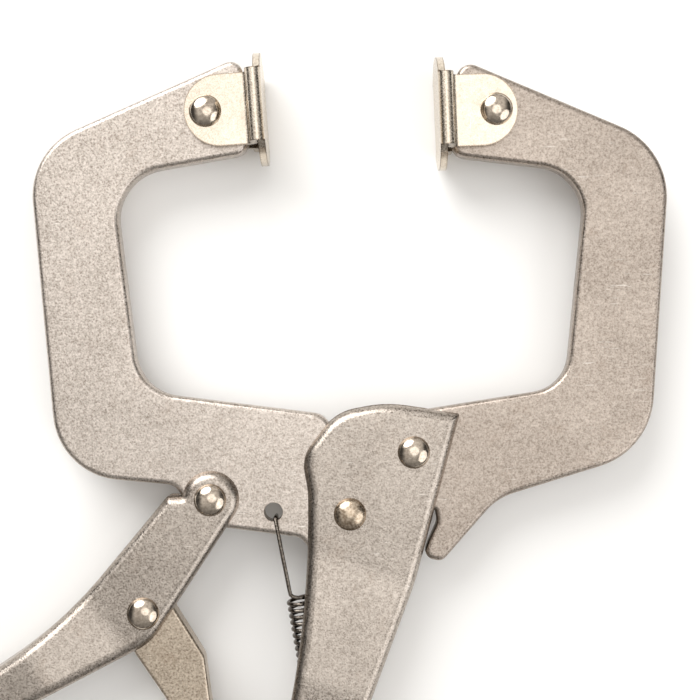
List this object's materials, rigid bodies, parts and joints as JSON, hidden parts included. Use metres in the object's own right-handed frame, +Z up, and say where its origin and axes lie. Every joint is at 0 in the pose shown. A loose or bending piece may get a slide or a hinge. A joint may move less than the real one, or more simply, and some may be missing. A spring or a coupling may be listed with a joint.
{
  "type": "locking pliers",
  "caption": "Locking C-clamp pliers with deep curved jaws, swivel pads, folded channel handles, a toggle link, a return spring and an adjusting screw, lying open.",
  "frame": {"origin": "bottom centre of the whole tool's box at rest, lying flat on its side with the jaws fully open", "axes": "+Z up through the thickness, +Y from the handles towards the jaws, +X across, from the moving jaw to the fixed jaw"},
  "size_m": [0.2432, 0.2826, 0.0222],
  "materials": {
    "sheet": "satin nickel plate on blasted sheet steel",
    "forged": "satin nickel plate on blasted plate steel",
    "rivet": "bright nickel plate",
    "screw": "nickel plated turned steel",
    "link": "satin nickel plate on pressed steel",
    "pad": "satin nickel plate on folded sheet steel",
    "spring": "dark drawn spring wire"
  },
  "bodies": {
    "handle": {"fixed_handle": "sheet", "fixed_jaw": "forged", "fixed_jaw_rivet": "rivet", "jaw_pivot_rivet": "rivet", "spring_anchor": "rivet", "screw_bush": "forged", "jaw_spring": "spring"},
    "moving_jaw_body": {"moving_jaw": "forged"},
    "lever": {"lever_handle": "sheet", "lever_rivet": "rivet", "link_rivet": "rivet", "release_rivet": "rivet"},
    "link": {"toggle_link": "link", "link_nose_pin": "rivet"},
    "release": {"release_lever": "sheet"},
    "screw": {"adjusting_screw": "screw"},
    "knob": {"screw_knob": "screw"},
    "moving_pad_body": {"moving_pad": "pad", "moving_pad_rivet": "rivet"},
    "fixed_pad_body": {"fixed_pad": "pad", "fixed_pad_rivet": "rivet"}
  },
  "joints": [
    {"name": "jaw_pivot", "type": "hinge", "parent": "handle", "child": "moving_jaw_body", "pos_m": [0.04277, 0.02683, 0.0111], "axis": [0, 0, 1], "range_deg": [-19.3, 0], "deforming": ["jaw_spring"]},
    {"name": "lever_pivot", "type": "hinge", "parent": "moving_jaw_body", "child": "lever", "pos_m": [0.00827, 0.03033, 0.0111], "axis": [0, 0, 1], "range_deg": [0, 54.56]},
    {"name": "link_pivot", "type": "hinge", "parent": "lever", "child": "link", "pos_m": [-0.00823, 0.00233, 0.0111], "axis": [0, 0, 1], "range_deg": [-54.74, 0]},
    {"name": "release_pivot", "type": "hinge", "parent": "lever", "child": "release", "pos_m": [-0.06108, -0.03019, 0.0111], "axis": [0, 0, 1], "range_deg": [-12, 0]},
    {"name": "knob_spin", "type": "hinge", "parent": "screw", "child": "knob", "pos_m": [0.00145, -0.1248, 0.0111], "axis": [-0.309, -0.9511, 0], "range_deg": [0, 3456.5]},
    {"name": "screw_advance", "type": "slide", "parent": "handle", "child": "screw", "axis": [-0.309, -0.9511, 0], "range_m": [0, 0.012]},
    {"name": "moving_pad_swivel", "type": "hinge", "parent": "moving_jaw_body", "child": "moving_pad_body", "pos_m": [0.00702, 0.12633, 0.0111], "axis": [0, 0, 1], "range_deg": [-6, 20]},
    {"name": "fixed_pad_swivel", "type": "hinge", "parent": "handle", "child": "fixed_pad_body", "pos_m": [0.07892, 0.12683, 0.0111], "axis": [0, 0, 1], "range_deg": [-12, 8]}
  ],
  "couplings": [
    {"joint": "lever_pivot", "follows": "jaw_pivot", "ratio": -2.8265},
    {"joint": "link_pivot", "follows": "jaw_pivot", "ratio": 2.8358},
    {"joint": "knob_spin", "follows": "screw_advance", "rad_per_m": 5026.5}
  ]
}
